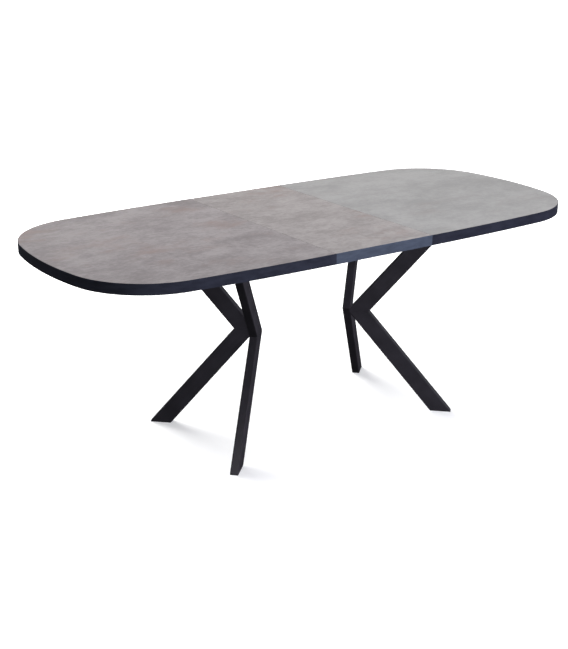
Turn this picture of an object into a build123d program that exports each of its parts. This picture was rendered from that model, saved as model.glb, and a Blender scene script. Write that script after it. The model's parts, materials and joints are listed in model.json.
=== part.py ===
from build123d import *
import os
from math import atan, cos, floor, pi, radians, sin, sqrt, tan

# Extendable dining table with its leaf in: an oval top in two sliding halves and a loose leaf,
# on a fixed frame carried by two pedestals of V-shaped legs.
# Millimetres and degrees. +Z is up, and the origin is on the floor under the middle of the table.
# +X runs along the table to its right end, and -Y is its front long side.

# ---------------------------------------------------------------- top
top_length = 2000.0
top_width = 900.0
top_height = 760.0
leaf_width = 400.0
seam_gap = 0.4
board_thickness = 18.0
laminate_thickness = 0.8
doubler_thickness = 18.0
doubler_width = 60.0
doubler_end_depth = 150.0
band_thickness = 1.5
band_edge_radius = 1.0

# The outline bows gently along the sides, turns tight corners and bows again across the ends.
side_radius = 8070.0
corner_radius = 285.0
end_radius = 1126.0

# ---------------------------------------------------------------- legs
tube_width = 60.0
tube_depth = 30.0
tube_wall = 2.0
tube_corner = 3.0
leg_slope = 50.0
leg_turn = 44.0
pedestal_offset = 194.0
elbow_height = 378.0
elbow_setback = 8.0
glide_thickness = 3.0
glide_inset = 1.0
glide_plug_height = 14.0
glide_plug_clearance = 0.2

# ---------------------------------------------------------------- fixed frame
crossbar_width = 40.0
crossbar_height = 30.0
crossbar_wall = 2.0
crossbar_overhang = 34.0
cap_thickness = 2.0
cap_plug_depth = 10.0
cap_plug_clearance = 0.1
plate_thickness = 6.0
plate_margin = 6.5
plate_corner = 3.0
leg_bolt_room = 7.0
leg_bolt_edge = 13.0
leg_bolt_radius = 4.0
leg_bolt_clearance = 0.5
leg_bolt_head_radius = 7.0
leg_bolt_head_height = 5.3
weld_nut_wall = 3.0
weld_nut_height = 6.5

rail_length = 1300.0
rail_width = 40.0
rail_height = 32.0
rail_wall = 2.0
rail_slot = 20.0
stop_radius = 5.0
stop_height = 1.4
stop_clearance = 0.5
pad_thickness = 2.0
pad_width = 7.0
pad_length = 80.0
pad_end_room = 15.0

# ---------------------------------------------------------------- runners
over_travel = 50.0
runner_length = 645.0
runner_end_room = 5.0
runner_clearance = 2.0
runner_wall = 3.0
glide_fit = 0.3
glide_block_length = 20.0
runner_plug_length = 25.0
runner_plug_clearance = 0.2

# ---------------------------------------------------------------- equaliser
gear_module = 3.0
gear_teeth = 18
pressure_angle = 20.0
gear_backlash = 0.3
gear_thickness = 12.0
axle_radius = 6.0
axle_clearance = 0.05
axle_collar_radius = 10.0
axle_collar_height = 7.8
axle_head_height = 5.0
axle_play = 0.2
rack_thickness = 10.0
rack_back = 10.0
rack_end_room = 15.0
rack_block_length = 40.0
rack_clearance = 0.3
bridge_width = 80.0
bridge_thickness = 5.0
bridge_screw_radius = 3.0
bridge_screw_head_radius = 5.5
bridge_screw_head_height = 4.0
guide_length = 60.0
guide_wall = 15.0
guide_clearance = 2.0
guide_lip = 3.0

# ---------------------------------------------------------------- leaf fittings and clasps
locator_length = 40.0
locator_depth = 20.0
locator_clearance = 0.7
locator_chamfer = 2.0
locator_spacing = 140.0
clasp_room = 11.0
clasp_inset = 45.0
clasp_reach = 80.0
clasp_plate_size = 50.0
clasp_plate_thickness = 3.0
clasp_pin_radius = 4.0
clasp_pin_clearance = 0.05
clasp_play = 0.3
lever_width = 24.0
lever_thickness = 4.0
lever_overhang = 15.0
lever_notch_clearance = 1.0
lever_tab_width = 16.0
lever_tab_depth = 10.0
lever_tab_thickness = 3.0
rivet_head_radius = 7.0
rivet_head_height = 2.0
stud_plate_size = 36.0
stud_tail = 1.5

# ---------------------------------------------------------------- wood screws
screw_radius = 2.0
screw_head_radius = 4.0
screw_head_height = 3.0
screw_bite = 10.0
screw_access_radius = 6.0
runner_screws = 4
runner_screw_end_room = 60.0

# ---------------------------------------------------------------- levels
board_bottom = top_height - board_thickness
laminate_bottom = top_height - laminate_thickness
doubler_bottom = board_bottom - doubler_thickness
rail_top = board_bottom - pad_thickness
rail_bottom = rail_top - rail_height
rail_floor = rail_bottom + rail_wall
runner_body_top = rail_top - rail_wall - runner_clearance
runner_bottom = rail_floor + runner_clearance
runner_height = runner_body_top - runner_bottom
runner_ceiling = runner_body_top - runner_wall
crossbar_bottom = rail_bottom - crossbar_height
arm_top = crossbar_bottom - plate_thickness
bridge_bottom = rail_bottom - bridge_thickness
gear_bottom = rail_bottom + axle_collar_height + axle_play
gear_top = gear_bottom + gear_thickness
rack_bottom = gear_bottom + (gear_thickness - rack_thickness) / 2
rack_top = rack_bottom + rack_thickness
clasp_plate_bottom = board_bottom - clasp_plate_thickness
lever_top = clasp_plate_bottom - clasp_play
lever_bottom = lever_top - lever_thickness

# ---------------------------------------------------------------- places in plan
half_edge = (leaf_width + seam_gap) / 2
leaf_edge = (leaf_width - seam_gap) / 2
travel = leaf_width / 2
run_per_rise = 1 / tan(radians(leg_slope))
tube_run = tube_width / sin(radians(leg_slope))
arm_reach = elbow_setback + (arm_top - elbow_height) * run_per_rise + tube_run / 2
arm_x = pedestal_offset + arm_reach * cos(radians(leg_turn))
arm_y = arm_reach * sin(radians(leg_turn))
arm_footprint_x = tube_run * cos(radians(leg_turn)) + tube_depth * sin(radians(leg_turn))
arm_footprint_y = tube_run * sin(radians(leg_turn)) + tube_depth * cos(radians(leg_turn))
plate_length = arm_footprint_x + 2 * plate_margin
leg_bolt_spacing = arm_footprint_y + 2 * (leg_bolt_head_radius + leg_bolt_room)
plate_width = leg_bolt_spacing + 2 * leg_bolt_edge
crossbar_length = 2 * (arm_y + leg_bolt_spacing / 2 + crossbar_overhang)
rail_y = arm_y
runner_width = rail_width - 2 * rail_wall - 2 * runner_clearance
runner_neck = rail_slot - 2 * runner_clearance
runner_start = travel + runner_end_room
lever_end = clasp_reach + lever_overhang
lever_notch = 2 * (clasp_pin_radius + lever_notch_clearance)
clasp_x = half_edge + clasp_inset
clasp_y = -(rail_y + rail_width / 2 + clasp_room + lever_end)
stud_x = clasp_x - clasp_reach
pitch_radius = gear_module * gear_teeth / 2
gear_pitch = pi * gear_module
rack_root = pitch_radius + 1.25 * gear_module
rack_outer_face = rack_root + rack_back
rack_block_start = travel + 2 * rack_end_room

os.makedirs("parts", exist_ok=True)

sides = (("left", -1), ("right", 1))
edges_y = (("front", -1), ("rear", 1))


def write(piece, label):
    """Names a finished piece and writes it to its own file."""
    piece.part.label = label
    export_step(piece.part, f"parts/{label}.step")


# ================================================================ top outline
side_centre = Vector(leaf_width / 2, side_radius - top_width / 2)
end_centre = Vector(top_length / 2 - end_radius, 0)
side_to_corner = side_radius - corner_radius
end_to_corner = end_radius - corner_radius
centre_line = end_centre - side_centre
along = (side_to_corner**2 - end_to_corner**2 + centre_line.length**2) / (2 * centre_line.length)
across = sqrt(side_to_corner**2 - along**2)
corner_centre = (
    side_centre
    + centre_line.normalized() * along
    + centre_line.normalized().cross(Vector(0, 0, -1)) * across
)
if corner_centre.X < end_centre.X:
    corner_centre = corner_centre - centre_line.normalized().cross(Vector(0, 0, -1)) * 2 * across


def oval(inset):
    """The top's outline moved inwards: straight past the leaf, then side, corner and end arcs."""
    half_width = top_width / 2 - inset
    side_end = side_centre + (corner_centre - side_centre).normalized() * (side_radius - inset)
    corner_end = end_centre + (corner_centre - end_centre).normalized() * (end_radius - inset)
    with BuildSketch() as outline:
        with BuildLine():
            Line((0, -half_width), (leaf_width / 2, -half_width))
            side = TangentArc((leaf_width / 2, -half_width), side_end, tangent=(1, 0))
            corner = TangentArc(side @ 1, corner_end, tangent=side % 1)
            TangentArc(corner @ 1, (top_length / 2 - inset, 0), tangent=corner % 1)
            mirror(about=Plane.XZ)
            mirror(about=Plane.YZ)
        make_face()
    return outline.sketch


def keep_half(side):
    """Cuts the open sketch back to one side of the leaf."""
    with Locations((side * (half_edge + top_length / 2), 0)):
        Rectangle(top_length, 2 * top_width, mode=Mode.INTERSECT)


def keep_leaf():
    """Cuts the open sketch back to the leaf."""
    Rectangle(2 * leaf_edge, 2 * top_width, mode=Mode.INTERSECT)


def rim_edges(piece):
    """The top and bottom edges of a band that lie on the outline."""
    rim = oval(0).wire()
    level = piece.edges().group_by(Axis.Z)
    flat = level[0] + level[-1]
    return [edge for edge in flat if rim.distance_to(Vector((edge @ 0.5).X, (edge @ 0.5).Y, 0)) < 0.01]


def screw(x, y, seat):
    """A wood screw driven upwards, its head's flat against a seat at this height."""
    grip = board_bottom - seat + screw_bite
    with Locations((x, y, seat)):
        Cylinder(screw_radius, grip, align=(Align.CENTER, Align.CENTER, Align.MIN))
        Cylinder(screw_head_radius, screw_head_height, align=(Align.CENTER, Align.CENTER, Align.MAX))


def screw_hole(x, y):
    """The hole that a wood screw cuts into a board from below."""
    with Locations((x, y, board_bottom)):
        Cylinder(screw_radius, screw_bite, align=(Align.CENTER, Align.CENTER, Align.MIN), mode=Mode.SUBTRACT)


# ================================================================ screw places in each half
runner_screw_step = (runner_length - 2 * runner_screw_end_room) / (runner_screws - 1)
runner_screw_x = [
    runner_start + runner_screw_end_room + i * runner_screw_step for i in range(runner_screws)
]
rack_screw_x = [rack_block_start + rack_block_length * share for share in (0.25, 0.75)]
rack_screw_y = rack_root + rack_back / 2
clasp_screw_offset = clasp_plate_size / 2 - 2 * screw_head_radius


def board_screw_places(side):
    """Every wood screw of one half as (x, y, height of the seat under its head)."""
    places = [
        (side * x, end * rail_y, runner_ceiling) for x in runner_screw_x for _, end in edges_y
    ]
    places += [(side * x, side * rack_screw_y, rack_bottom) for x in rack_screw_x]
    places += [
        (side * (clasp_x + clasp_screw_offset), clasp_y + turn * clasp_screw_offset, clasp_plate_bottom)
        for turn in (-1, 1)
    ]
    return places


# ================================================================ the two halves of the top
for side_name, side in sides:
    with BuildPart() as panel:
        with BuildSketch(Plane.XY.offset(board_bottom)):
            add(oval(band_thickness))
            keep_half(side)
        extrude(amount=board_thickness - laminate_thickness)
        for x, y, _ in board_screw_places(side):
            screw_hole(x, y)
    write(panel, f"{side_name}_panel")

    with BuildPart() as laminate:
        with BuildSketch(Plane.XY.offset(laminate_bottom)):
            add(oval(band_thickness))
            keep_half(side)
        extrude(amount=laminate_thickness)
    write(laminate, f"{side_name}_laminate")

    with BuildPart() as edge_band:
        with BuildSketch(Plane.XY.offset(doubler_bottom)):
            add(oval(0))
            add(oval(band_thickness), mode=Mode.SUBTRACT)
            keep_half(side)
        extrude(amount=top_height - doubler_bottom)
        fillet(rim_edges(edge_band), band_edge_radius)
    write(edge_band, f"{side_name}_edge_band")

    # The doubler is three strips: one along each side, and one across the end between them.
    end_line = top_length / 2 - doubler_end_depth
    strips = (("front", -1), ("end", 0), ("rear", 1))
    for strip_name, row in strips:
        with BuildPart() as doubler:
            with BuildSketch(Plane.XY.offset(doubler_bottom)):
                add(oval(band_thickness))
                add(oval(doubler_width), mode=Mode.SUBTRACT)
                keep_half(side)
                if row == 0:
                    with Locations((side * (end_line + top_length / 2), 0)):
                        Rectangle(top_length, 2 * top_width, mode=Mode.INTERSECT)
                else:
                    with Locations((side * (end_line - top_length / 2), row * top_width / 2)):
                        Rectangle(top_length, top_width, mode=Mode.INTERSECT)
            extrude(amount=doubler_thickness)
        write(doubler, f"{side_name}_doubler_{strip_name}")

    # A hollow runner under each side of the half rides in the fixed rail, its neck through the slot.
    for end_name, end in edges_y:
        with BuildPart() as runner:
            with BuildSketch(Plane.YZ.offset(side * runner_start)):
                with Locations((end * rail_y, runner_bottom + runner_height / 2)):
                    Rectangle(runner_width, runner_height)
                with Locations((end * rail_y, board_bottom)):
                    Rectangle(
                        runner_neck, board_bottom - runner_body_top, align=(Align.CENTER, Align.MAX)
                    )
                with Locations((end * rail_y, runner_bottom + runner_height / 2)):
                    Rectangle(
                        runner_width - 2 * runner_wall,
                        runner_height - 2 * runner_wall,
                        mode=Mode.SUBTRACT,
                    )
            extrude(amount=side * runner_length)
            for x in runner_screw_x:
                with Locations((side * x, end * rail_y, runner_ceiling)):
                    Cylinder(
                        screw_radius,
                        board_bottom - runner_ceiling,
                        align=(Align.CENTER, Align.CENTER, Align.MIN),
                        mode=Mode.SUBTRACT,
                    )
                with Locations((side * x, end * rail_y, runner_bottom)):
                    Cylinder(
                        screw_access_radius,
                        runner_wall,
                        align=(Align.CENTER, Align.CENTER, Align.MIN),
                        mode=Mode.SUBTRACT,
                    )
        write(runner, f"{side_name}_runner_{end_name}")

    # A nylon block on the inner end of each runner fills the rail and plugs the runner.
    with BuildPart() as runner_glides:
        block_middle = runner_start - glide_block_length / 2
        plug_middle = runner_start + runner_plug_length / 2
        rail_middle = rail_floor + (rail_height - 2 * rail_wall) / 2
        for _, end in edges_y:
            with Locations((side * block_middle, end * rail_y, rail_middle)):
                Box(
                    glide_block_length,
                    rail_width - 2 * rail_wall - 2 * glide_fit,
                    rail_height - 2 * rail_wall - 2 * glide_fit,
                )
            with Locations((side * plug_middle, end * rail_y, rail_middle)):
                Box(
                    runner_plug_length,
                    runner_width - 2 * runner_wall - 2 * runner_plug_clearance,
                    runner_height - 2 * runner_wall - 2 * runner_plug_clearance,
                )
    write(runner_glides, f"{side_name}_runner_glides")

    # The base of the clasp carries a riveted pin that points down.
    with BuildPart() as clasp_plate:
        with Locations((side * clasp_x, clasp_y, board_bottom)):
            Box(
                clasp_plate_size,
                clasp_plate_size,
                clasp_plate_thickness,
                align=(Align.CENTER, Align.CENTER, Align.MAX),
            )
        with Locations((side * clasp_x, clasp_y, clasp_plate_bottom)):
            Cylinder(
                clasp_pin_radius,
                lever_thickness + 2 * clasp_play,
                align=(Align.CENTER, Align.CENTER, Align.MAX),
            )
        with Locations((side * clasp_x, clasp_y, lever_bottom - clasp_play)):
            Cylinder(
                rivet_head_radius, rivet_head_height, align=(Align.CENTER, Align.CENTER, Align.MAX)
            )
        for turn in (-1, 1):
            hole_x = side * (clasp_x + clasp_screw_offset)
            with Locations((hole_x, clasp_y + turn * clasp_screw_offset, clasp_plate_bottom)):
                Cylinder(
                    screw_radius,
                    clasp_plate_thickness,
                    align=(Align.CENTER, Align.CENTER, Align.MIN),
                    mode=Mode.SUBTRACT,
                )
    write(clasp_plate, f"{side_name}_clasp_plate")

    with BuildPart() as screws:
        for x, y, seat in board_screw_places(side):
            screw(x, y, seat)
    write(screws, f"{side_name}_screws")

    # The clasp's lever is parked along the seam. Its notch opens towards the leaf.
    with BuildPart() as lever:
        with BuildSketch(Plane.XY.offset(lever_bottom)):
            with Locations((side * clasp_x, clasp_y + (lever_end - lever_width / 2) / 2)):
                RectangleRounded(lever_width, lever_end + lever_width / 2, lever_width / 2 - 0.1)
            with Locations((side * clasp_x, clasp_y)):
                Circle(clasp_pin_radius + clasp_pin_clearance, mode=Mode.SUBTRACT)
            with Locations((side * clasp_x, clasp_y + clasp_reach)):
                Circle(lever_notch / 2, mode=Mode.SUBTRACT)
            with Locations((side * (clasp_x - lever_width / 2), clasp_y + clasp_reach)):
                Rectangle(lever_width, lever_notch, mode=Mode.SUBTRACT)
        extrude(amount=lever_thickness)
        with Locations((side * clasp_x, clasp_y + lever_end, lever_bottom)):
            Box(
                lever_tab_width,
                lever_tab_thickness,
                lever_tab_depth,
                align=(Align.CENTER, Align.MAX, Align.MAX),
            )
    write(lever, f"{side_name}_clasp_lever")

# ================================================================ the leaf
with BuildPart() as leaf_panel:
    with BuildSketch(Plane.XY.offset(board_bottom)):
        add(oval(band_thickness))
        keep_leaf()
    extrude(amount=board_thickness - laminate_thickness)
write(leaf_panel, "leaf_panel")

with BuildPart() as leaf_laminate:
    with BuildSketch(Plane.XY.offset(laminate_bottom)):
        add(oval(band_thickness))
        keep_leaf()
    extrude(amount=laminate_thickness)
write(leaf_laminate, "leaf_laminate")

for end_name, end in edges_y:
    with BuildPart() as leaf_band:
        with BuildSketch(Plane.XY.offset(doubler_bottom)):
            with Locations((0, end * (top_width - band_thickness) / 2)):
                Rectangle(2 * leaf_edge, band_thickness)
        extrude(amount=top_height - doubler_bottom)
        fillet(rim_edges(leaf_band), band_edge_radius)
    write(leaf_band, f"leaf_edge_band_{end_name}")

    with BuildPart() as leaf_doubler:
        with BuildSketch(Plane.XY.offset(doubler_bottom)):
            with Locations((0, end * (top_width - doubler_width - band_thickness) / 2)):
                Rectangle(2 * leaf_edge, doubler_width - band_thickness)
        extrude(amount=doubler_thickness)
    write(leaf_doubler, f"leaf_doubler_{end_name}")

# Four nylon blocks under the leaf drop into the slots of the rails and hold it square.
with BuildPart() as locators:
    with Locations((0, 0, board_bottom)):
        with GridLocations(locator_spacing, 2 * rail_y, 2, 2):
            Box(
                locator_length,
                rail_slot - 2 * locator_clearance,
                locator_depth,
                align=(Align.CENTER, Align.CENTER, Align.MAX),
            )
    chamfer(locators.faces().filter_by(Axis.Z).sort_by(Axis.Z)[:4].edges(), locator_chamfer)
write(locators, "leaf_locator_blocks")

with BuildPart() as studs:
    for _, side in sides:
        with Locations((side * stud_x, clasp_y, board_bottom)):
            Box(
                stud_plate_size,
                stud_plate_size,
                clasp_plate_thickness,
                align=(Align.CENTER, Align.CENTER, Align.MAX),
            )
        with Locations((side * stud_x, clasp_y, clasp_plate_bottom)):
            Cylinder(
                clasp_pin_radius,
                clasp_play + lever_thickness + stud_tail,
                align=(Align.CENTER, Align.CENTER, Align.MAX),
            )
write(studs, "leaf_clasp_studs")

# ================================================================ equaliser
# The racks reach past the pinion on opposite sides, so that the halves move by equal amounts.
addendum = gear_module
tooth_half = (gear_pitch / 2 - gear_backlash) / 2
flank = tan(radians(pressure_angle))
for (side_name, side), turned in zip(sides, (0, 180)):
    with BuildPart() as rack:
        rack_inner = over_travel + rack_end_room
        rack_outer = rack_block_start + rack_block_length
        first_tooth = -floor((travel + rack_end_room) / gear_pitch)
        last_tooth = floor(rack_inner / gear_pitch - 0.5)
        with BuildSketch(Plane.XY.rotated((0, 0, turned)).offset(rack_bottom)):
            with Locations(((rack_inner - rack_outer) / 2, -rack_root - rack_back / 2)):
                Rectangle(rack_inner + rack_outer, rack_back)
            with Locations(*[(k * gear_pitch, -pitch_radius) for k in range(first_tooth, last_tooth + 1)]):
                Polygon(
                    (-tooth_half - flank * (rack_root - pitch_radius), pitch_radius - rack_root),
                    (tooth_half + flank * (rack_root - pitch_radius), pitch_radius - rack_root),
                    (tooth_half - flank * addendum, addendum),
                    (-tooth_half + flank * addendum, addendum),
                    align=None,
                )
        extrude(amount=rack_thickness)
        block_x = rack_block_start + rack_block_length / 2
        with Locations((side * block_x, side * rack_screw_y, rack_top)):
            Box(
                rack_block_length,
                rack_back,
                board_bottom - rack_top,
                align=(Align.CENTER, Align.CENTER, Align.MIN),
            )
        for x in rack_screw_x:
            with Locations((side * x, side * rack_screw_y, rack_bottom)):
                Cylinder(
                    screw_radius,
                    board_bottom - rack_bottom,
                    align=(Align.CENTER, Align.CENTER, Align.MIN),
                    mode=Mode.SUBTRACT,
                )
    write(rack, f"{side_name}_rack")

# Involute teeth on a root disc, with a tooth space facing each rack.
base_radius = pitch_radius * cos(radians(pressure_angle))
tip_radius = pitch_radius + addendum
root_radius = pitch_radius - 1.25 * gear_module
involute_at_pitch = tan(radians(pressure_angle)) - radians(pressure_angle)
base_half_angle = tooth_half / pitch_radius + involute_at_pitch


def flank_point(radius, hand):
    """A point of a tooth's involute flank, on one hand of the tooth's middle line."""
    roll = sqrt(max((radius / base_radius) ** 2 - 1, 0))
    angle = hand * (base_half_angle - (roll - atan(roll)))
    return Vector(radius * cos(angle), radius * sin(angle))


def pinion_tooth():
    """One tooth along +X, sunk a little into the root disc."""
    radii = [base_radius + (tip_radius - base_radius) * share for share in (0, 0.1, 0.35, 0.65, 1)]
    sunk = root_radius - addendum
    with BuildSketch() as tooth:
        with BuildLine():
            low = Spline(*[flank_point(radius, -1) for radius in radii])
            high = Spline(*[flank_point(radius, 1) for radius in radii])
            ThreePointArc(low @ 1, (tip_radius, 0), high @ 1)
            low_root = (sunk * cos(base_half_angle), -sunk * sin(base_half_angle))
            high_root = (sunk * cos(base_half_angle), sunk * sin(base_half_angle))
            Polyline(low @ 0, low_root, high_root, high @ 0)
        make_face()
    return tooth.sketch


with BuildPart() as pinion:
    with BuildSketch(Plane.XY.offset(gear_bottom)):
        Circle(root_radius)
        with PolarLocations(0, gear_teeth, start_angle=180 / gear_teeth - 90):
            add(pinion_tooth())
        Circle(axle_radius + axle_clearance, mode=Mode.SUBTRACT)
    extrude(amount=gear_thickness)
write(pinion, "pinion")

with BuildPart() as axle:
    with Locations((0, 0, bridge_bottom)):
        Cylinder(axle_collar_radius, axle_head_height, align=(Align.CENTER, Align.CENTER, Align.MAX))
        Cylinder(
            axle_radius,
            gear_top + 2 * axle_play - bridge_bottom,
            align=(Align.CENTER, Align.CENTER, Align.MIN),
        )
    with Locations((0, 0, rail_bottom)):
        Cylinder(axle_collar_radius, axle_collar_height, align=(Align.CENTER, Align.CENTER, Align.MIN))
    with Locations((0, 0, gear_top + axle_play)):
        Cylinder(axle_collar_radius, rivet_head_height, align=(Align.CENTER, Align.CENTER, Align.MIN))
write(axle, "pinion_axle")

bridge_length = 2 * rail_y + rail_width
with BuildPart() as bridge:
    with Locations((0, 0, bridge_bottom)):
        Box(
            bridge_width,
            bridge_length,
            bridge_thickness,
            align=(Align.CENTER, Align.CENTER, Align.MIN),
        )
        Cylinder(
            axle_radius,
            bridge_thickness,
            align=(Align.CENTER, Align.CENTER, Align.MIN),
            mode=Mode.SUBTRACT,
        )
        with GridLocations(bridge_width / 2, 2 * rail_y, 2, 2):
            Cylinder(
                bridge_screw_radius,
                bridge_thickness,
                align=(Align.CENTER, Align.CENTER, Align.MIN),
                mode=Mode.SUBTRACT,
            )
write(bridge, "centre_bridge")

with BuildPart() as bridge_screws:
    with Locations((0, 0, bridge_bottom)):
        with GridLocations(bridge_width / 2, 2 * rail_y, 2, 2):
            Cylinder(
                bridge_screw_radius,
                rail_floor - bridge_bottom,
                align=(Align.CENTER, Align.CENTER, Align.MIN),
            )
            Cylinder(
                bridge_screw_head_radius,
                bridge_screw_head_height,
                align=(Align.CENTER, Align.CENTER, Align.MAX),
            )
write(bridge_screws, "bridge_screws")

# Each guide is an L of nylon: a shelf under its rack and a wall behind it.
with BuildPart() as guides:
    for _, end in edges_y:
        wall_face = rack_outer_face + rack_clearance
        wall_back = wall_face + guide_wall
        shelf_edge = tip_radius + guide_clearance
        shelf_top = rack_bottom - rack_clearance
        with BuildSketch(Plane.YZ.offset(-guide_length / 2)):
            Polygon(
                (end * shelf_edge, rail_bottom),
                (end * wall_back, rail_bottom),
                (end * wall_back, rack_top + guide_lip),
                (end * wall_face, rack_top + guide_lip),
                (end * wall_face, shelf_top),
                (end * shelf_edge, shelf_top),
                align=None,
            )
        extrude(amount=guide_length)
write(guides, "rack_guides")

# ================================================================ fixed rails and crossbars
for end_name, end in edges_y:
    with BuildPart() as rail:
        with BuildSketch(Plane.YZ.offset(-rail_length / 2)):
            with Locations((end * rail_y, rail_bottom + rail_height / 2)):
                Rectangle(rail_width, rail_height)
                Rectangle(rail_width - 2 * rail_wall, rail_height - 2 * rail_wall, mode=Mode.SUBTRACT)
            with Locations((end * rail_y, rail_top)):
                Rectangle(
                    rail_slot, 2 * rail_wall, align=(Align.CENTER, Align.CENTER), mode=Mode.SUBTRACT
                )
        extrude(amount=rail_length)
        stop_x = runner_start + over_travel + stop_radius + stop_clearance
        with Locations(*[(side * stop_x, end * rail_y, rail_floor) for _, side in sides]):
            Cylinder(stop_radius, stop_height, align=(Align.CENTER, Align.CENTER, Align.MIN))
        with Locations((0, end * rail_y, rail_bottom)):
            with GridLocations(bridge_width / 2, 1, 2, 1):
                Cylinder(
                    bridge_screw_radius,
                    rail_wall,
                    align=(Align.CENTER, Align.CENTER, Align.MIN),
                    mode=Mode.SUBTRACT,
                )
    write(rail, f"rail_{end_name}")

# Felt pads on the lips of the rails carry the leaf.
with BuildPart() as pads:
    pad_x = leaf_edge - pad_end_room - pad_length / 2
    lip_offset = (rail_width + rail_slot) / 4
    for _, end in edges_y:
        with Locations((0, end * rail_y, rail_top)):
            with GridLocations(2 * pad_x, 2 * lip_offset, 2, 2):
                Box(
                    pad_length,
                    pad_width,
                    pad_thickness,
                    align=(Align.CENTER, Align.CENTER, Align.MIN),
                )
write(pads, "leaf_rest_pads")

for side_name, side in sides:
    bolt_places = [(side * arm_x, end * (arm_y + turn * leg_bolt_spacing / 2))
                   for _, end in edges_y for turn in (-1, 1)]
    with BuildPart() as crossbar:
        with BuildSketch(Plane.XZ.offset(-crossbar_length / 2)):
            with Locations((side * arm_x, crossbar_bottom + crossbar_height / 2)):
                Rectangle(crossbar_width, crossbar_height)
                Rectangle(
                    crossbar_width - 2 * crossbar_wall,
                    crossbar_height - 2 * crossbar_wall,
                    mode=Mode.SUBTRACT,
                )
        extrude(amount=crossbar_length)
        with Locations(*[(x, y, crossbar_bottom + crossbar_wall) for x, y in bolt_places]):
            Cylinder(
                leg_bolt_radius + weld_nut_wall,
                weld_nut_height,
                align=(Align.CENTER, Align.CENTER, Align.MIN),
            )
        with Locations(*[(x, y, crossbar_bottom) for x, y in bolt_places]):
            Cylinder(
                leg_bolt_radius,
                crossbar_wall + weld_nut_height,
                align=(Align.CENTER, Align.CENTER, Align.MIN),
                mode=Mode.SUBTRACT,
            )
    write(crossbar, f"crossbar_{side_name}")

with BuildPart() as caps:
    cap_middle = crossbar_bottom + crossbar_height / 2
    cap_y = (crossbar_length + cap_thickness) / 2
    plug_y = (crossbar_length - cap_plug_depth) / 2
    with Locations((0, 0, cap_middle)):
        with GridLocations(2 * arm_x, 2 * cap_y, 2, 2):
            Box(crossbar_width, cap_thickness, crossbar_height)
        with GridLocations(2 * arm_x, 2 * plug_y, 2, 2):
            Box(
                crossbar_width - 2 * crossbar_wall - 2 * cap_plug_clearance,
                cap_plug_depth,
                crossbar_height - 2 * crossbar_wall - 2 * cap_plug_clearance,
            )
write(caps, "crossbar_end_caps")

# ================================================================ legs


def slanted(low, high, inset):
    """Corners of a leg's side view between two heights, as (distance out from the pedestal, height)."""
    trim = inset / sin(radians(leg_slope))
    corners = []
    for height in (low, high):
        inner = elbow_setback + abs(height - elbow_height) * run_per_rise + trim
        corners.append(((inner, height), (inner + tube_run - 2 * trim, height)))
    (low_in, low_out), (high_in, high_out) = corners
    return low_in, low_out, high_out, high_in


def leg_plane(side, end):
    """The upright plane along the middle of one V-shaped leg, its x pointing out from the pedestal."""
    out = Vector(side * cos(radians(leg_turn)), end * sin(radians(leg_turn)))
    return Plane(origin=(side * pedestal_offset, 0, 0), x_dir=out, z_dir=out.cross(Vector(0, 0, 1)))


def weld_plane(side):
    """The front face of the rear leg, where the front leg of the same pedestal butts against it."""
    forwards = Vector(side * sin(radians(leg_turn)), -cos(radians(leg_turn)))
    origin = Vector(side * pedestal_offset, 0, 0) + forwards * (tube_depth / 2)
    return Plane(origin=origin, z_dir=forwards)


def long_edges(piece):
    """The four corner edges along a leg tube: neither level nor across its plane."""
    return piece.edges().filter_by(lambda edge: abs((edge % 0.5).Z) > 0.5)


for side_name, side in sides:
    for end_name, end in edges_y:
        pieces = (
            ("lower_leg", glide_thickness, elbow_height),
            ("upper_arm", elbow_height, arm_top),
        )
        for piece_name, low, high in pieces:
            with BuildPart() as tube:
                with BuildSketch(leg_plane(side, end)):
                    Polygon(*slanted(low, high, 0), align=None)
                extrude(amount=tube_depth / 2, both=True)
                fillet(long_edges(tube), tube_corner)
                with BuildSketch(leg_plane(side, end)):
                    Polygon(*slanted(low, high, tube_wall), align=None)
                extrude(amount=tube_depth / 2 - tube_wall, both=True, mode=Mode.SUBTRACT)
                if end_name == "front":
                    split(bisect_by=weld_plane(side), keep=Keep.TOP)
            write(tube, f"{side_name}_{end_name}_{piece_name}")

        # The arms are welded under a plate that is bolted to the crossbar.
        with BuildPart() as plate:
            with Locations((side * arm_x, end * arm_y, arm_top)):
                Box(
                    plate_length,
                    plate_width,
                    plate_thickness,
                    align=(Align.CENTER, Align.CENTER, Align.MIN),
                )
                with GridLocations(1, leg_bolt_spacing, 1, 2):
                    Cylinder(
                        leg_bolt_radius + leg_bolt_clearance,
                        plate_thickness,
                        align=(Align.CENTER, Align.CENTER, Align.MIN),
                        mode=Mode.SUBTRACT,
                    )
            fillet(plate.edges().filter_by(GeomType.LINE).filter_by(Axis.Z), plate_corner)
        write(plate, f"{side_name}_{end_name}_plate")

with BuildPart() as leg_bolts:
    for _, side in sides:
        for _, end in edges_y:
            with Locations((side * arm_x, end * arm_y, arm_top)):
                with GridLocations(1, leg_bolt_spacing, 1, 2):
                    Cylinder(
                        leg_bolt_radius,
                        plate_thickness + crossbar_wall + weld_nut_height,
                        align=(Align.CENTER, Align.CENTER, Align.MIN),
                    )
                    Cylinder(
                        leg_bolt_head_radius,
                        leg_bolt_head_height,
                        align=(Align.CENTER, Align.CENTER, Align.MAX),
                    )
write(leg_bolts, "leg_bolts")

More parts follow.
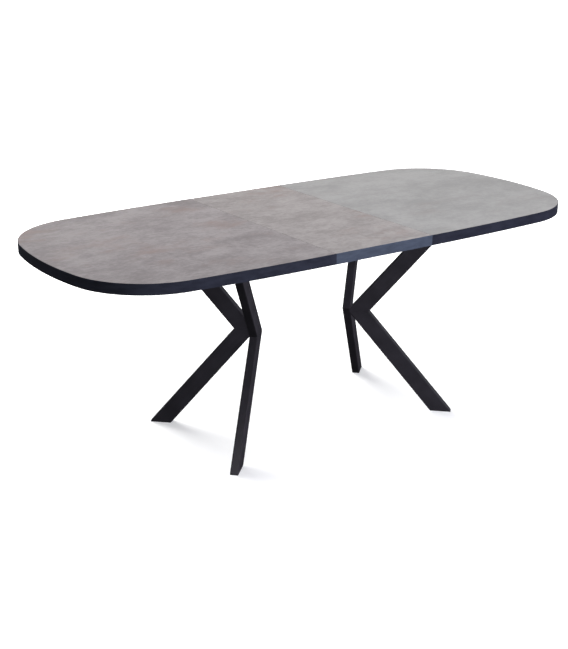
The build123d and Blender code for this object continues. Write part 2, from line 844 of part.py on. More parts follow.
with BuildPart() as foot_glides:
    for _, side in sides:
        for _, end in edges_y:
            with BuildSketch(leg_plane(side, end)):
                Polygon(*slanted(0, glide_thickness, glide_inset), align=None)
            extrude(amount=tube_depth / 2 - glide_inset, both=True)
            plug_inset = tube_wall + glide_plug_clearance
            with BuildSketch(leg_plane(side, end)):
                Polygon(
                    *slanted(glide_thickness, glide_thickness + glide_plug_height, plug_inset),
                    align=None,
                )
            extrude(amount=tube_depth / 2 - plug_inset, both=True)
write(foot_glides, "foot_glides")
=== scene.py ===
# %% [markdown]
# # An extendable dining table
#
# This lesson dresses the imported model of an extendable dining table. The top is an oval of
# concrete-look laminate with a black edge, cut in two halves with a leaf between them. Two pedestals
# of V-shaped steel legs carry it, and sliding rails, a pinion and two clasps work underneath.
#
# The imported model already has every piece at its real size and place. It is loaded first, and is
# never moved. Some pieces get only a finish. Others are modelled again with softer edges and
# smooth shading, and then stand in for the plain ones.

import json
import math

import bpy
from mathutils import Matrix, Vector


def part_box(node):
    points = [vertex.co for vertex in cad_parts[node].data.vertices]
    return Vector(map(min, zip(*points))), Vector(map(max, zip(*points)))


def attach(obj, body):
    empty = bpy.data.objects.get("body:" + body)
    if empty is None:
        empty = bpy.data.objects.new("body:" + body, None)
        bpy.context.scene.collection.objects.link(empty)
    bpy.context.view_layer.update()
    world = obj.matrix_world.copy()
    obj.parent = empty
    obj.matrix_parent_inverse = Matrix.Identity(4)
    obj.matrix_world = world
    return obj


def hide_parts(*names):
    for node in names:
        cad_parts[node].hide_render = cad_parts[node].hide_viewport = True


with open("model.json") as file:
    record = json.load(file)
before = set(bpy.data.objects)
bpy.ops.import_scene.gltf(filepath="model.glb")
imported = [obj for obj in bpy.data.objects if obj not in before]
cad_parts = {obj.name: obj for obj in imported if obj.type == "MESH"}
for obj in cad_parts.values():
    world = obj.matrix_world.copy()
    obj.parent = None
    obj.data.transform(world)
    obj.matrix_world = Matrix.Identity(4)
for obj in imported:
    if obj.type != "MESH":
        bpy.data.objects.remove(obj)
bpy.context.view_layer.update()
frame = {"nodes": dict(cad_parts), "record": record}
bpy.ops.object.select_all(action="DESELECT")
print("pieces in the packed model:", len(frame["nodes"]))

# %% [markdown]
# ## Camera
#
# The table is seen from its front left, from a little above a standing person's eyes, with a longish
# lens that keeps the long top from looking stretched. A camera could be aimed with a tracking
# constraint. Its three axes are worked out here instead, from a compass angle, a height angle and
# a slight roll, because they then say plainly how it stands.

# %% Camera
camera_place = Vector((-2.493, -3.428, 1.830))
camera_azimuth = math.radians(-35.08)
camera_elevation = math.radians(19.18)
camera_roll = math.radians(0.21)
lens_length = 68.77


def camera_axes(azimuth, elevation, roll):
    """The camera's right, up and backward directions as a rotation."""
    right = Vector((math.cos(azimuth), math.sin(azimuth), 0))
    backward = Vector((
        math.sin(azimuth) * math.cos(elevation),
        -math.cos(azimuth) * math.cos(elevation),
        math.sin(elevation),
    ))
    level = Matrix((right, backward.cross(right), backward)).transposed()
    return Matrix.Rotation(roll, 3, backward) @ level


camera_data = bpy.data.cameras.new("camera")
camera_data.lens = lens_length
camera = bpy.data.objects.new("camera", camera_data)
bpy.context.scene.collection.objects.link(camera)
camera.matrix_world = (
    Matrix.Translation(camera_place)
    @ camera_axes(camera_azimuth, camera_elevation, camera_roll).to_4x4()
)
bpy.context.scene.camera = camera
bpy.context.scene.view_settings.view_transform = "Standard"
print("camera at", tuple(round(part, 2) for part in camera_place), "with a lens of", lens_length, "mm")

# %% [markdown]
# ## Sums of shades
#
# A finish is a tree of nodes. Building one socket by socket hides what it says, so a small class
# wraps an output, and its plus, minus and times add Math nodes. A mask can then be written as a sum,
# and 1 - mask works too.

# %% Shade


class Shade:
    """A value that varies over a surface. Arithmetic on it adds Math nodes to its finish."""

    def __init__(self, finish, socket):
        self.finish = finish
        self.socket = socket

    def maths(self, operation, first, second):
        return self.finish.node("ShaderNodeMath", {"operation": operation}, {0: first, 1: second})

    def __add__(self, other):
        return self.maths("ADD", self, other)

    __radd__ = __add__

    def __sub__(self, other):
        return self.maths("SUBTRACT", self, other)

    def __rsub__(self, other):
        return self.maths("SUBTRACT", other, self)

    def __mul__(self, other):
        return self.maths("MULTIPLY", self, other)

    __rmul__ = __mul__


print("a shade can be added, subtracted and multiplied")

# %% [markdown]
# ## A finish and its nodes
#
# A finish is one material with a Principled shader. What is the same all over is given when it is
# started, and stays on the shader. What varies is fed in afterwards, by name. Every other node comes
# from one call, which takes its type, its settings, and the values or shades of its sockets.

# %% Finish
# A Mix node has a set of sockets for each kind of data. These are the numbers of the colour ones.
MIX_SHARE, MIX_FIRST, MIX_SECOND = 0, 6, 7
MIX_COLOUR = 2


class Finish:
    """A material with a Principled shader, and one call that adds any other node."""

    def __init__(self, name, **constants):
        self.material = bpy.data.materials.new(name)
        self.material.use_nodes = True
        self.tree = self.material.node_tree
        self.shader = self.tree.nodes["Principled BSDF"]
        for socket_name, value in constants.items():
            self.shader.inputs[socket_name.replace("_", " ")].default_value = value
        self.place = self.node("ShaderNodeTexCoord", output="Object")

    def node(self, kind, settings=None, inputs=None, output=0):
        """Adds a node with its settings, and with a value or a shade for each socket named."""
        made = self.tree.nodes.new(kind)
        for setting, value in (settings or {}).items():
            setattr(made, setting, value)
        for socket_name, value in (inputs or {}).items():
            self.feed(made.inputs[socket_name], value)
        return Shade(self, made.outputs[output])

    def feed(self, socket, value):
        """Links a shade to a socket, or sets a plain value on it."""
        if isinstance(value, Shade):
            self.tree.links.new(value.socket, socket)
        else:
            socket.default_value = value

    def noise(self, scale, detail, roughness, place=None):
        """Cloudy noise from 0 to 1: cells to the metre, layers of detail, and how strong they are."""
        inputs = {"Vector": place or self.place, "Scale": scale, "Detail": detail, "Roughness": roughness}
        return self.node("ShaderNodeTexNoise", inputs=inputs)

    def mask(self, value, low, high):
        """0 below low, 1 above high, and smooth between."""
        settings = {"interpolation_type": "SMOOTHSTEP"}
        return self.node("ShaderNodeMapRange", settings, {"Value": value, "From Min": low, "From Max": high})

    def mix(self, share, first, second):
        """A colour from the first, at a share of 0, to the second, at 1."""
        inputs = {MIX_SHARE: share, MIX_FIRST: first, MIX_SECOND: second}
        return self.node("ShaderNodeMix", {"data_type": "RGBA"}, inputs, output=MIX_COLOUR)

    def stretched(self, along):
        """The place on the piece, squeezed by these shares along X, Y and Z."""
        return self.node("ShaderNodeMapping", inputs={"Vector": self.place, "Scale": along})

    def paint(self, **sockets):
        """Feeds varying values to the shader, by socket name."""
        for socket_name, value in sockets.items():
            self.feed(self.shader.inputs[socket_name.replace("_", " ")], value)

    def bump(self, height, depth, strength):
        """Raises the surface by height times depth, in metres."""
        inputs = {"Height": height, "Distance": depth, "Strength": strength}
        self.paint(Normal=self.node("ShaderNodeBump", inputs=inputs))


def grey(level):
    return (level, level, level, 1)


def report(finish):
    """Prints how many nodes a finish has, and hands over its material."""
    print(finish.material.name, "nodes:", len(finish.tree.nodes))
    return finish.material


print("helpers for finishes: Shade, Finish, grey and report")

# %% [markdown]
# ## Concrete-look laminate
#
# The top is high-pressure laminate printed like trowelled concrete. Seen close, it has soft clouds
# as long as a hand, warm brown stains, smaller smudges, a salt of fine grain, and a satin face with
# a dry, shallow texture. One noise can't do all of that, so each size of mark has its own noise, and
# they are added up with the larger ones strongest. The three sheets are cut from different boards,
# so each has its own piece of the pattern and its own tone: warm on the left half and on the leaf,
# neutral on the right half. Their lightness is partly painted light: the left half is darker as
# painted shade, and the right half is lighter and more neutral as a painted sheen. Where a sheet is
# eased at a seam, the brown paper core shows, which is why a closed seam reads as a thin dark line.

# %% Concrete-look laminate
sheet_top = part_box("leaf_laminate")[1][2]
CORE_DEPTH = 0.00006
PRINT_STRETCH = (0.75, 1.15, 1)
# Each size of mark: cells to the metre, layers of detail, and how strong the finer layers are.
CLOUDS = (6, 5, 0.62)
SMUDGES = (19, 5, 0.64)
FLECKS = (75, 4, 0.62)
GRAIN = (420, 3, 0.70)
STAINS = (5, 6, 0.68)
PAPER_CORE = (0.110, 0.095, 0.088, 1)
STAIN = (0.236, 0.182, 0.168, 1)
# For each sheet: its place on the board, its dark and light tone, and how stained it is.
# The left half's darker tones are partly painted shade, and the right half's lighter, more neutral tones
# partly a painted sheen.
SHEET_TONES_AND_PAINTED_LIGHT = {
    "left_laminate": ((3, 7, 1), (0.194, 0.176, 0.177, 1), (0.302, 0.279, 0.280, 1), 0.70),
    "leaf_laminate": ((11, 2, 5), (0.232, 0.213, 0.209, 1), (0.343, 0.320, 0.315, 1), 0.70),
    "right_laminate": ((6, 13, 9), (0.258, 0.254, 0.252, 1), (0.336, 0.331, 0.328, 1), 0.15),
}


def concrete_laminate(name, board, dark, light, stained):
    """The finish of one sheet, cut from its own place on the board."""
    finish = Finish(name, IOR=1.5, Specular_IOR_Level=0.25)
    inputs = {"Vector": finish.place, "Location": board, "Scale": PRINT_STRETCH}
    cut = finish.node("ShaderNodeMapping", inputs=inputs)
    clouds = finish.noise(*CLOUDS, cut)
    smudges = finish.noise(*SMUDGES, cut)
    flecks = finish.noise(*FLECKS, cut)
    grain = finish.noise(*GRAIN, cut)
    tone = 0.32 * clouds + 0.29 * smudges + 0.25 * flecks + 0.14 * grain
    colour = finish.mix(finish.mask(tone, low=0.40, high=0.60), dark, light)

    stains = finish.mask(finish.noise(*STAINS, cut), low=0.52, high=0.70)
    colour = finish.mix(stained * stains, colour, STAIN)
    height = finish.node("ShaderNodeSeparateXYZ", inputs={0: finish.place}, output="Z")
    core = 1 - finish.mask(height, low=sheet_top - CORE_DEPTH, high=sheet_top - CORE_DEPTH / 2)
    finish.paint(
        Base_Color=finish.mix(core, colour, PAPER_CORE),
        Roughness=0.40 + 0.12 * smudges + 0.08 * grain,
    )
    finish.bump(0.6 * grain + 0.4 * flecks, depth=0.00010, strength=0.5)
    return report(finish)


SHEET_FINISHES = {
    node_name: concrete_laminate(f"concrete_{node_name}", *tones)
    for node_name, tones in SHEET_TONES_AND_PAINTED_LIGHT.items()
}

# %% [markdown]
# ## Black edging
#
# The edge is plastic tape, 36 mm high, with a fine pressed texture and a satin face. It is never
# pure black: dust and light leave it a dark blue-grey. The right half's tape is a little darker, and
# that darkness is painted shade. The leaf is newer and sees less wear, and its tape comes from
# another roll, so it is visibly lighter and bluer than the halves.

# %% Black edging
MOTTLE = (38, 4, 0.60)
PRESSED_TEXTURE = (1400, 2, 0.55)
DUST = (7, 5, 0.70)
MOTTLE_STRETCH = (0.5, 0.5, 2)


def edging(name, dark, light, base_roughness):
    """A tape whose tone drifts between dark and light, with a pressed texture."""
    finish = Finish(name, IOR=1.46, Specular_IOR_Level=0.3)
    mottle = finish.noise(*MOTTLE, finish.stretched(MOTTLE_STRETCH))
    pressed = finish.noise(*PRESSED_TEXTURE)
    dust = finish.noise(*DUST)
    share = finish.mask(0.6 * mottle + 0.4 * dust, low=0.34, high=0.66)
    finish.paint(
        Base_Color=finish.mix(share, dark, light),
        Roughness=base_roughness + 0.16 * mottle + 0.08 * pressed,
    )
    finish.bump(pressed, depth=0.00006, strength=0.5)
    return report(finish)


HALF_TAPE = edging("edging_black", (0.0143, 0.0156, 0.0246, 1), (0.0242, 0.0264, 0.0400, 1), 0.45)
LEAF_TAPE = edging("edging_leaf", (0.038, 0.046, 0.067, 1), (0.057, 0.068, 0.097, 1), 0.45)
# The right half's tape is darker only as painted shade.
RIGHT_TAPE_PAINTED_SHADE = edging("edging_right_painted_shade", (0.0110, 0.0120, 0.0195, 1), (0.0190, 0.0205, 0.0320, 1), 0.48)

# %% [markdown]
# ## Powder coat
#
# The steel is powder coated. The powder melts into a skin with a fine orange peel, matt but not
# dead, and a trace of violet in its black. The peel is a cell noise a millimetre across, softened
# with a finer noise, and it drives both the bump and a little of the roughness. A slow drift in
# roughness stands for where hands and cloths have polished it.

# %% Powder coat
STEEL_DARK = (0.0190, 0.0175, 0.0215, 1)
STEEL_LIGHT = (0.0330, 0.0305, 0.0375, 1)
PEEL_CELLS = 900
FINE_PEEL = (2600, 2, 0.50)
HANDLING = (11, 4, 0.60)


def powder_coat():
    finish = Finish("powder_coat", IOR=1.5, Specular_IOR_Level=0.45)
    inputs = {"Vector": finish.place, "Scale": PEEL_CELLS}
    peel = finish.node("ShaderNodeTexVoronoi", {"feature": "SMOOTH_F1"}, inputs)
    fine = finish.noise(*FINE_PEEL)
    handled = finish.noise(*HANDLING)
    share = finish.mask(0.7 * handled + 0.3 * fine, low=0.3, high=0.7)
    finish.paint(
        Base_Color=finish.mix(share, STEEL_DARK, STEEL_LIGHT),
        Roughness=0.40 + 0.14 * handled + 0.06 * peel,
    )
    finish.bump(0.7 * peel + 0.3 * fine, depth=0.00009, strength=0.6)
    return report(finish)


POWDER_COAT = powder_coat()

# %% [markdown]
# ## Board
#
# Under its laminate the top is chipboard with a dark backing sheet, and the thick rim is a second
# layer of the same board. Flakes of wood lie in it every way, so a cell noise gives each flake its
# own tone, and finer noise roughens it.

# %% Board
CHIP_DARK = (0.085, 0.076, 0.066, 1)
CHIP_LIGHT = (0.150, 0.134, 0.114, 1)
FLAKE_CELLS = 420
FLAKE_STRETCH = (0.6, 1, 1)
BOARD_DUST = (30, 5, 0.60)


def chipboard():
    finish = Finish("chipboard", IOR=1.45, Specular_IOR_Level=0.3)
    inputs = {"Vector": finish.stretched(FLAKE_STRETCH), "Scale": FLAKE_CELLS}
    flake = finish.node("ShaderNodeTexVoronoi", inputs=inputs, output="Color")
    tone = finish.node("ShaderNodeSeparateXYZ", inputs={0: flake}, output="X")
    dust = finish.noise(*BOARD_DUST)
    share = finish.mask(0.6 * tone + 0.4 * dust, low=0.2, high=0.8)
    finish.paint(
        Base_Color=finish.mix(share, CHIP_DARK, CHIP_LIGHT),
        Roughness=0.62 + 0.2 * dust,
    )
    finish.bump(tone, depth=0.00015, strength=0.4)
    return report(finish)


CHIPBOARD = chipboard()

# %% [markdown]
# ## Zinc and aluminium
#
# The working parts underneath have plain shop finishes. Zinc plating is bright with a faint spangle,
# so cells and a haze vary its roughness. Mill-finish aluminium carries the long lines of its die, so
# its noise is stretched along the runner, far finer across it than along it.

# %% Zinc and aluminium
SPANGLE_CELLS = 240
ZINC_HAZE = (90, 4, 0.60)
DIE_STRETCH = (0.02, 26, 26)
DIE_LINES = (60, 3, 0.60)
MILL_HAZE = (14, 4, 0.60)


def zinc():
    finish = Finish("zinc_plate", Metallic=1.0)
    inputs = {"Vector": finish.place, "Scale": SPANGLE_CELLS}
    spangle = finish.node("ShaderNodeTexVoronoi", inputs=inputs)
    haze = finish.noise(*ZINC_HAZE)
    finish.paint(
        Base_Color=finish.mix(haze, (0.44, 0.45, 0.45, 1), (0.62, 0.63, 0.62, 1)),
        Roughness=0.28 + 0.14 * haze + 0.10 * spangle,
    )
    finish.bump(haze, depth=0.00003, strength=0.4)
    return report(finish)


def die_drawn_aluminium():
    finish = Finish("die_drawn_aluminium", Metallic=1.0)
    lines = finish.noise(*DIE_LINES, finish.stretched(DIE_STRETCH))
    haze = finish.noise(*MILL_HAZE)
    finish.paint(
        Base_Color=finish.mix(0.5 * lines + 0.5 * haze, (0.48, 0.49, 0.50, 1), (0.66, 0.67, 0.68, 1)),
        Roughness=0.30 + 0.18 * lines + 0.06 * haze,
    )
    finish.bump(lines, depth=0.00003, strength=0.4)
    return report(finish)


ZINC = zinc()
ALUMINIUM = die_drawn_aluminium()

# %% [markdown]
# ## Nylon, felt and moulded plastic
#
# Nylon is milky and slightly waxy, felt is a mat of fibres, and the moulded caps have a spark-eroded
# grain. They differ only in tone, roughness and the size of their grain, so one function makes all
# three.

# %% Nylon, felt and moulded plastic
CLOUDING = (45, 3, 0.60)
NYLON_GRAIN = (700, 3, 0.60)
FELT_FIBRES = (1900, 3, 0.60)
CAP_GRAIN = (1200, 3, 0.60)


def moulded(name, dark, light, roughness, grain_size, depth):
    """A moulded or felted finish, whose grain is raised by a depth in metres."""
    finish = Finish(name, IOR=1.5, Specular_IOR_Level=0.4)
    grain = finish.noise(*grain_size)
    cloud = finish.noise(*CLOUDING)
    finish.paint(
        Base_Color=finish.mix(0.7 * cloud + 0.3 * grain, dark, light),
        Roughness=roughness + 0.16 * grain,
    )
    finish.bump(grain, depth, strength=0.5)
    return report(finish)


NYLON = moulded("nylon", (0.62, 0.60, 0.54, 1), (0.74, 0.72, 0.66, 1), 0.36, NYLON_GRAIN, 0.00004)
FELT = moulded("felt", (0.020, 0.020, 0.022, 1), (0.060, 0.060, 0.064, 1), 0.85, FELT_FIBRES, 0.00030)
CAP_PLASTIC = moulded(
    "moulded_black", (0.012, 0.012, 0.013, 1), (0.022, 0.022, 0.024, 1), 0.45, CAP_GRAIN, 0.00006
)

# %% [markdown]
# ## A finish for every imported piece
#
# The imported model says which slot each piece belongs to. Each slot gets its finish here, and each
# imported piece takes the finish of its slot. Pieces made later ask for theirs by the same names.

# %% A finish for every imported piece
FINISHES = {
    "top_laminate": SHEET_FINISHES["left_laminate"],
    "edge_band": HALF_TAPE,
    "leaf_edge_band": LEAF_TAPE,
    "powder_coat": POWDER_COAT,
    "chipboard": CHIPBOARD,
    "zinc_steel": ZINC,
    "runner_aluminium": ALUMINIUM,
    "nylon": NYLON,
    "felt": FELT,
    "black_plastic": CAP_PLASTIC,
}

for part in frame["record"]["subparts"]:
    node = frame["nodes"][part["node"]]
    node.data.materials.clear()
    node.data.materials.append(FINISHES[part["material_slot"]])
print("slots with a finish:", len(FINISHES))

# %% [markdown]
# ## Ways of working a piece
#
# Every new piece goes through the same hands. It is started from a primitive or from a merged copy
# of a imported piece, worked on in edit mode, and then finished: its place is applied to its mesh, its
# edges are smoothed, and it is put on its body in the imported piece's stead.

# %% Ways of working a piece
SMOOTH_ANGLE = math.radians(40)
MERGE_DISTANCE = 0.000002
FLAT_ANGLE = math.radians(0.5)


def start_edit(piece):
    """Opens one piece in edit mode with nothing selected."""
    bpy.ops.object.select_all(action="DESELECT")
    piece.select_set(True)
    bpy.context.view_layer.objects.active = piece
    bpy.ops.object.mode_set(mode="EDIT")
    bpy.ops.mesh.select_all(action="DESELECT")


def select_edges(piece, wanted):
    """Selects the edges whose two end points pass the test."""
    bpy.ops.mesh.select_mode(type="EDGE")
    bpy.ops.mesh.select_all(action="DESELECT")
    bpy.ops.object.mode_set(mode="OBJECT")
    mesh = piece.data
    for edge in mesh.edges:
        first, second = (mesh.vertices[index].co for index in edge.vertices)
        edge.select = wanted(first, second)
    bpy.ops.object.mode_set(mode="EDIT")


def saw(place, normal):
    """Cuts the open piece at a plane, drops what lies on the normal's side, and caps the cut."""
    bpy.ops.mesh.select_all(action="SELECT")
    bpy.ops.mesh.bisect(plane_co=place, plane_no=normal, use_fill=True, clear_outer=True)


def finish_piece(piece, name, slot, body, *stands_for):
    """Applies a piece's place, smooths it, and puts it on its body with its finish."""
    bpy.ops.object.mode_set(mode="OBJECT")
    bpy.ops.object.select_all(action="DESELECT")
    piece.select_set(True)
    bpy.context.view_layer.objects.active = piece
    bpy.ops.object.transform_apply(location=True, rotation=True, scale=True)
    bpy.ops.object.shade_smooth_by_angle(angle=SMOOTH_ANGLE)
    weights = piece.modifiers.new("weights", "WEIGHTED_NORMAL")
    weights.keep_sharp = True
    bpy.ops.object.modifier_apply(modifier=weights.name)
    piece.name = piece.data.name = name
    piece.data.materials.clear()
    piece.data.materials.append(FINISHES[slot])
    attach(piece, body)
    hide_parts(*stands_for)


def merged_copy(node_name):
    """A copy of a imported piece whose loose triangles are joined, and flat faces made whole."""
    piece = frame["nodes"][node_name].copy()
    piece.data = piece.data.copy()
    piece.parent = None
    piece.matrix_world = Matrix.Identity(4)
    bpy.context.scene.collection.objects.link(piece)
    start_edit(piece)
    bpy.ops.mesh.select_all(action="SELECT")
    bpy.ops.mesh.remove_doubles(threshold=MERGE_DISTANCE)
    bpy.ops.mesh.dissolve_limited(angle_limit=FLAT_ANGLE)
    bpy.ops.mesh.select_all(action="DESELECT")
    return piece


print("edges are smoothed below", round(math.degrees(SMOOTH_ANGLE)), "degrees")

# %% [markdown]
# ## Legs
#
# Each leg is a V of flat steel tube: a lower leg and an upper arm, sawn level at the elbow and welded
# there. The bar could be drawn as a profile and extruded, but a maker starts with a length of tube,
# turns it to its slope and saws it level at both ends, and that is what happens here. The tube's
# rounded corners are bevelled while it is still whole, so they meet exactly at the elbow. A hair of
# a chamfer on the sawn end at the elbow leaves the fine line of a ground weld.

# %% Leg tubes
TUBE_WIDTH = 0.060
TUBE_DEPTH = 0.030
TUBE_CORNER = 0.003
CORNER_STEPS = 4
LEG_SLOPE = math.radians(50)
LEG_TURN = math.radians(44)
PEDESTAL_OFFSET = 0.194
ELBOW_SETBACK = 0.008
SPARE_LENGTH = 1.0
WELD_LINE = 0.0005
LEVEL = 0.000001
elbow_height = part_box("left_rear_lower_leg")[1][2]
tube_run = TUBE_WIDTH / math.sin(LEG_SLOPE)


def leg_out(side, end):
    """The level direction in which a leg points away from its pedestal."""
    return Vector((side * math.cos(LEG_TURN), end * math.sin(LEG_TURN), 0))


def weld_face(side):
    """The place and direction of the rear leg's front face, where the front leg butts."""
    forwards = Vector((side * math.sin(LEG_TURN), -math.cos(LEG_TURN), 0))
    return Vector((side * PEDESTAL_OFFSET, 0, 0)) + forwards * TUBE_DEPTH / 2, forwards


def at_elbow(first, second):
    """True for an edge of the level cut at the elbow."""
    return all(abs(point.z - elbow_height) < LEVEL for point in (first, second))


def leg_tube(side, end, low, high, rise):
    """A tube through the elbow, sawn level at two heights. rise is 1 for an arm and -1 for a leg."""
    out = leg_out(side, end)
    along = out * math.cos(LEG_SLOPE) + Vector((0, 0, rise * math.sin(LEG_SLOPE)))
    sideways = out.cross(Vector((0, 0, 1)))
    turned = Matrix((along, sideways, along.cross(sideways))).transposed()
    elbow = Vector((side * PEDESTAL_OFFSET, 0, elbow_height)) + out * (ELBOW_SETBACK + tube_run / 2)
    bpy.ops.mesh.primitive_cube_add(
        size=1,
        location=elbow,
        rotation=turned.to_euler(),
        scale=(2 * SPARE_LENGTH, TUBE_DEPTH, TUBE_WIDTH),
    )
    tube = bpy.context.active_object
    bpy.ops.object.transform_apply(location=True, rotation=True, scale=True)
    start_edit(tube)
    select_edges(tube, lambda first, second: (first - second).length > SPARE_LENGTH)
    bpy.ops.mesh.bevel(offset=TUBE_CORNER, segments=CORNER_STEPS, affect="EDGES")
    saw((0, 0, low), (0, 0, -1))
    saw((0, 0, high), (0, 0, 1))
    if end < 0:
        place, forwards = weld_face(side)
        saw(place, -forwards)
    select_edges(tube, at_elbow)
    bpy.ops.mesh.bevel(offset=WELD_LINE, segments=1, affect="EDGES")
    return tube


for side_name, side in (("left", -1), ("right", 1)):
    for end_name, end in (("front", -1), ("rear", 1)):
        for part_name, rise in (("lower_leg", -1), ("upper_arm", 1)):
            node_name = f"{side_name}_{end_name}_{part_name}"
            low, high = (corner[2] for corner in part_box(node_name))
            tube = leg_tube(side, end, low, high, rise)
            finish_piece(tube, f"{node_name}_tube", "powder_coat", "frame", node_name)
            print(node_name, "faces:", len(tube.data.polygons))
print("elbow height:", round(elbow_height, 4))

# %% [markdown]
# ## Edging
#
# The tape on the edge is only 1.5 mm thick, and its outer corners are rounded over with a scraper.
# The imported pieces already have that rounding, but as loose flat triangles that show as facets. A
# merged copy with smooth shading catches one clean line of light along the top instead.

# %% Edging
EDGINGS = (
    ("left_edge_band", "edge_band", "left_half"),
    ("right_edge_band", "edge_band", "right_half"),
    ("leaf_edge_band_front", "leaf_edge_band", "leaf"),
    ("leaf_edge_band_rear", "leaf_edge_band", "leaf"),
)
for node_name, slot, body in EDGINGS:
    tape = merged_copy(node_name)
    finish_piece(tape, f"{node_name}_tape", slot, body, node_name)
    # The right half's tape takes the darker finish, which is painted shade.
    if body == "right_half":
        tape.data.materials[0] = RIGHT_TAPE_PAINTED_SHADE
    print(node_name, "faces:", len(tape.data.polygons))

# %% [markdown]
# ## Laminate sheets
#
# The sheets are cut square at the seams and then eased with a fine file. The easing is a bevel on
# the top edges at the seams only. Round the outside the sheet ends flush behind the edging.

# %% Laminate sheets
EASING = 0.00025
SEAM_REACH = 0.001
leaf_half_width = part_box("leaf_laminate")[1][0]
SHEETS = (("left_laminate", "left_half"), ("leaf_laminate", "leaf"), ("right_laminate", "right_half"))


def at_seam(first, second):
    """True for a top edge that runs along one of the two seams."""
    highest = min(first.z, second.z) > sheet_top - LEVEL
    return highest and all(abs(abs(point.x) - leaf_half_width) < SEAM_REACH for point in (first, second))


for node_name, body in SHEETS:
    sheet = merged_copy(node_name)
    select_edges(sheet, at_seam)
    bpy.ops.mesh.bevel(offset=EASING, segments=2, affect="EDGES")
    finish_piece(sheet, f"{node_name}_sheet", "top_laminate", body, node_name)
    sheet.data.materials[0] = SHEET_FINISHES[node_name]
    print(node_name, "faces:", len(sheet.data.polygons))

# %% [markdown]
# ## Eased steel and gear
#
# With the leaf out the mechanism shows: plates, bridge, clasp levers, pinion and racks. Sawn and
# punched edges are never knife sharp, because they are deburred, and powder or plating rounds them
# further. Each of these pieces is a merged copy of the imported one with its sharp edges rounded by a
# fraction of a millimetre, so that every edge carries a fine line of light.

# %% Eased steel and gear
DEBURR = 0.0004
SHARP = math.radians(35)
EASED = (
    ("centre_bridge", "powder_coat", "frame"),
    ("left_front_plate", "powder_coat", "frame"),
    ("left_rear_plate", "powder_coat", "frame"),
    ("right_front_plate", "powder_coat", "frame"),
    ("right_rear_plate", "powder_coat", "frame"),
    ("left_clasp_plate", "zinc_steel", "left_half"),
    ("right_clasp_plate", "zinc_steel", "right_half"),
    ("left_clasp_lever", "zinc_steel", "left_clasp"),
    ("right_clasp_lever", "zinc_steel", "right_clasp"),
    ("leg_bolts", "zinc_steel", "frame"),
    ("pinion", "nylon", "pinion"),
    ("left_rack", "nylon", "left_half"),
    ("right_rack", "nylon", "right_half"),
    ("leaf_locator_blocks", "nylon", "leaf"),
)
for node_name, slot, body in EASED:
    eased = merged_copy(node_name)
    bpy.ops.mesh.select_mode(type="EDGE")
    bpy.ops.mesh.edges_select_sharp(sharpness=SHARP)
    bpy.ops.mesh.bevel(offset=DEBURR, segments=2, affect="EDGES", clamp_overlap=True)
    finish_piece(eased, f"{node_name}_eased", slot, body, node_name)
    print(node_name, "faces:", len(eased.data.polygons))

# %% [markdown]
# ## Floor and backdrop
#
# The table stands on white sweep paper that runs out of sight, in front of a white wall. The paper
# glows a little by itself, as it does under many lamps, and more so further out, where the
# background lamps fall. In a studio it is only a small sheet on a dark floor, so black steel must not
# reflect a white plain. The paper and the wall are therefore hidden from the rays that leave the
# table, and a dark floor just under the paper is what those rays meet.

# %% Floor and backdrop
FLOOR_SIZE = 160
DARK_FLOOR_HEIGHT = -0.01
NEAR_GLOW = 0.27
GLOW_STARTS = 1.2
GLOW_IS_FULL = 3.5
WALL_SIDES = 96
WALL_MARGIN = 2
MATT = {"Roughness": 0.9, "Specular_IOR_Level": 0.0}

paper = Finish("sweep_paper", Base_Color=grey(0.80), Emission_Strength=1.0, **MATT)
out_from_table = paper.node(
    "ShaderNodeVectorMath", {"operation": "LENGTH"}, {0: paper.place}, output="Value"
)
far_share = paper.mask(out_from_table, GLOW_STARTS, GLOW_IS_FULL)
paper.paint(Emission_Color=paper.mix(far_share, grey(NEAR_GLOW), grey(1)))
dark_floor = Finish("dark_floor", Base_Color=grey(0.05), **MATT)
white_wall = Finish(
    "white_wall", Base_Color=grey(0.8), Emission_Color=grey(1), Emission_Strength=1.0, **MATT
)


def lay_floor(name, height, finish):
    """A floor plane at a height, which is part of the stage and not of the table."""
    bpy.ops.object.select_all(action="DESELECT")
    bpy.ops.mesh.primitive_plane_add(size=FLOOR_SIZE, location=(0, 0, height))
    plane = bpy.context.active_object
    plane.name = name
    plane.data.materials.append(finish.material)
    return plane


sheet_of_paper = lay_floor("floor", 0, paper)
sheet_of_paper.visible_glossy = sheet_of_paper.visible_diffuse = False
studio_floor = lay_floor("studio_floor", DARK_FLOOR_HEIGHT, dark_floor)
studio_floor.visible_camera = False

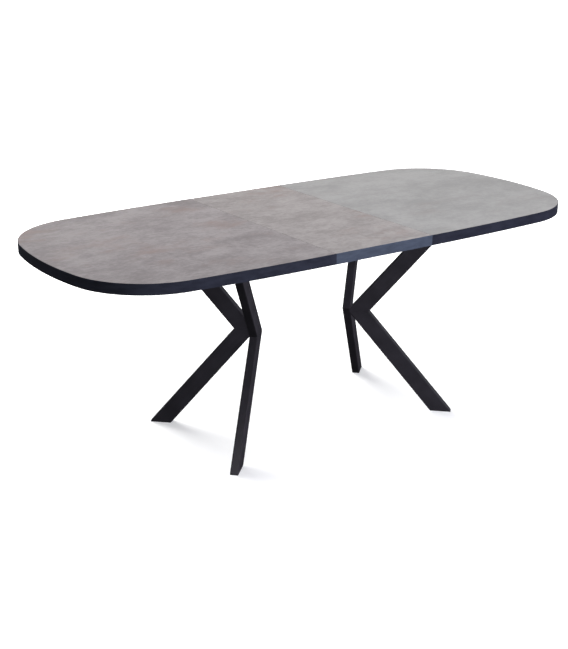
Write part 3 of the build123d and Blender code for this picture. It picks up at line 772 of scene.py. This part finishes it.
bpy.ops.object.select_all(action="DESELECT")
bpy.ops.mesh.primitive_cylinder_add(
    vertices=WALL_SIDES, radius=FLOOR_SIZE / 2 - WALL_MARGIN, depth=FLOOR_SIZE, end_fill_type="NOTHING"
)
wall = bpy.context.active_object
wall.name = "wall"
wall.data.materials.append(white_wall.material)
wall.visible_glossy = wall.visible_diffuse = wall.visible_shadow = False
print("paper:", FLOOR_SIZE, "m wide, wall:", FLOOR_SIZE - 2 * WALL_MARGIN, "m across")

# %% [markdown]
# ## Light
#
# A dim world fills every shadow a little. One big soft lamp hangs overhead, to the right of the
# middle. One high on the left is softly mirrored in the upward face of the front leg. A fill to the
# front right lifts the front edge and the right pedestal, and leaves the left end nearly black. It
# stands for a bounce board, so it casts no shadow and isn't mirrored. A wide one stands low behind
# the table. It reaches in under the top, draws the shadow of each foot towards the viewer, and fades
# that shadow within a hand's width or two. It isn't mirrored either, or the top would glare.

# %% Light
WORLD_COLOUR = (0.96, 0.97, 1.0, 1)
WORLD_STRENGTH = 0.30

world = bpy.data.worlds.new("studio")
world.use_nodes = True
sky = world.node_tree.nodes["Background"]
sky.inputs["Color"].default_value = WORLD_COLOUR
sky.inputs["Strength"].default_value = WORLD_STRENGTH
bpy.context.scene.world = world


def soft_lamp(name, place, aim, size, power, colour):
    """A square area lamp at a place, facing a point."""
    data = bpy.data.lights.new(name, "AREA")
    data.shape = "SQUARE"
    data.size = size
    data.energy = power
    data.color = colour
    lamp = bpy.data.objects.new(name, data)
    lamp.location = place
    lamp.rotation_mode = "QUATERNION"
    lamp.rotation_quaternion = (Vector(aim) - Vector(place)).to_track_quat("-Z", "Y")
    bpy.context.scene.collection.objects.link(lamp)
    return lamp


soft_lamp(
    "overhead", place=(1.7, 0.3, 3.8), aim=(0.4, 0, 0), size=3, power=54, colour=(1, 1, 0.99)
)
soft_lamp(
    "high_left", place=(-1.9, -1.2, 3.4), aim=(-0.3, -0.2, 0.3), size=1, power=24, colour=(0.93, 0.92, 1)
)
fill = soft_lamp(
    "fill_right", place=(1.2, -3.5, 1.3), aim=(0.1, 0, 0.5), size=1, power=185, colour=(0.92, 0.93, 1)
)
low_lamp = soft_lamp(
    "low_behind", place=(-0.2, 4.2, 1.8), aim=(0, 0, 0.2), size=3, power=370, colour=(1, 0.99, 0.97)
)
fill.data.use_shadow = False
fill.visible_glossy = low_lamp.visible_glossy = False
